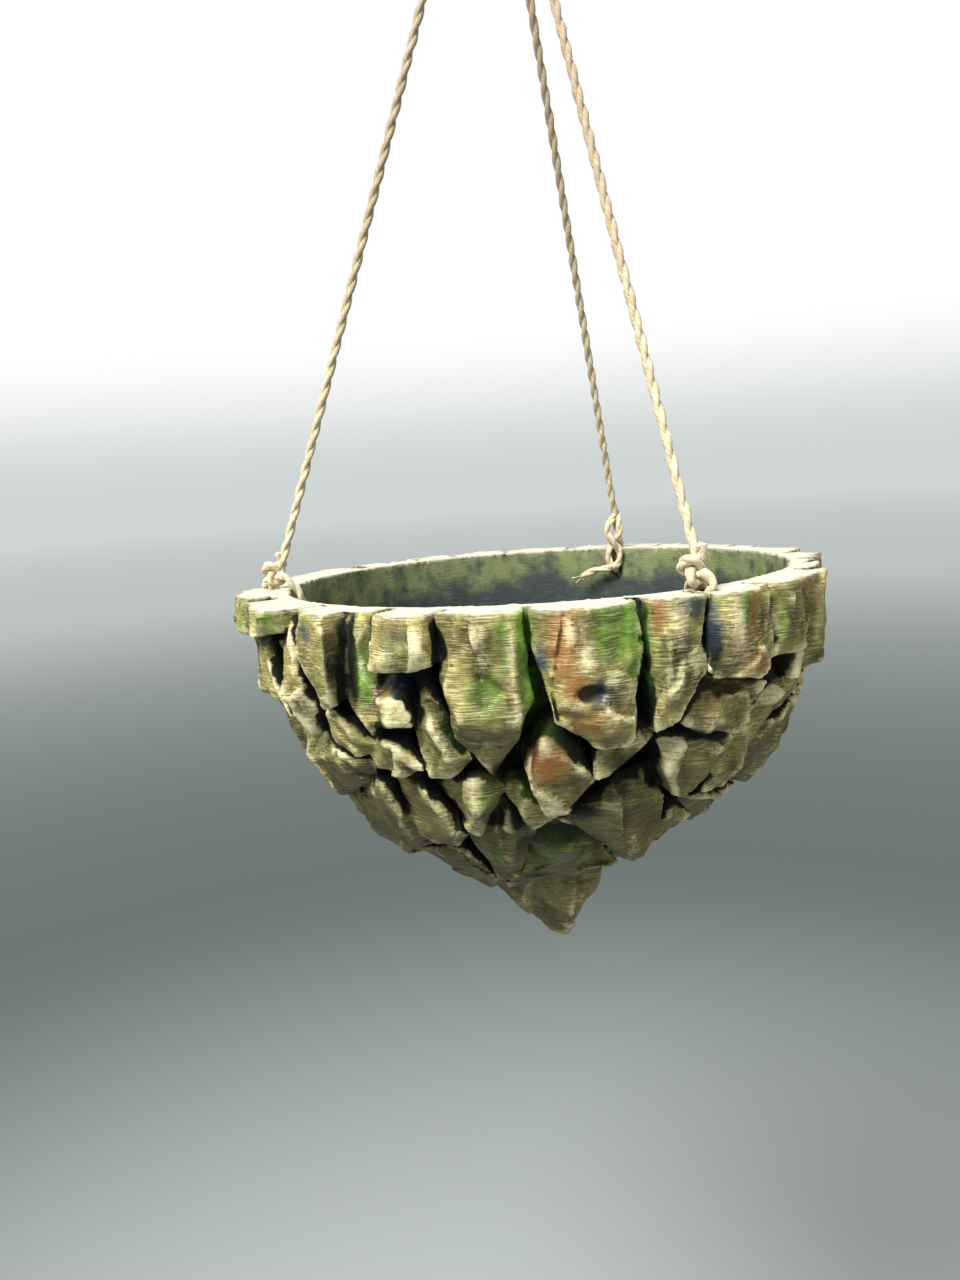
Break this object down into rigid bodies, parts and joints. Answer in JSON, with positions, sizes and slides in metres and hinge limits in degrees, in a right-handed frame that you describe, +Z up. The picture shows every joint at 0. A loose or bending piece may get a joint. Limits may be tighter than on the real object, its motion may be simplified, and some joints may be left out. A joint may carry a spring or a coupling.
{
  "type": "hanging planter",
  "caption": "Hanging planter: a tapering bowl of printed rock columns, painted as mossy stone, slung from twisted cords knotted through its rim and gathered into a hanging loop.",
  "frame": {"origin": "the point of the hanging loop that rests on its hook", "axes": "+Z up along the hanging axis, +Y to the back of the planter, +X to its right as seen from the front"},
  "size_m": [0.1829, 0.1895, 0.408],
  "materials": {
    "painted_rock": "matte drybrushed stone paint over a printed layer texture, with dark grooves, moss green and rust washes",
    "twine": "natural two-ply twisted twine with frayed ends"
  },
  "bodies": {
    "hanging_loop": {"loop_strand_1": "twine", "loop_strand_2": "twine", "loop_strand_3": "twine"},
    "gather_knot": {"gather_knot_core": "twine", "gather_knot_wrap": "twine", "gather_tail_back": "twine", "gather_tail_left": "twine", "gather_tail_right": "twine"},
    "planter": {"rock_bowl": "painted_rock", "cord_back": "twine", "rim_knot_back": "twine", "hole_loop_back": "twine", "knot_tail_back": "twine", "cord_left": "twine", "rim_knot_left": "twine", "hole_loop_left": "twine", "knot_tail_left": "twine", "cord_right": "twine", "rim_knot_right": "twine", "hole_loop_right": "twine", "knot_tail_right": "twine"}
  },
  "joints": [
    {"name": "swing_front_back", "type": "hinge", "parent": "hanging_loop", "child": "gather_knot", "pos_m": [0, 0, -0.032], "axis": [1, 0, 0], "range_deg": [-35, 35]},
    {"name": "swing_side", "type": "hinge", "parent": "gather_knot", "child": "planter", "pos_m": [0, 0, -0.046], "axis": [0, 1, 0], "range_deg": [-35, 35]}
  ]
}
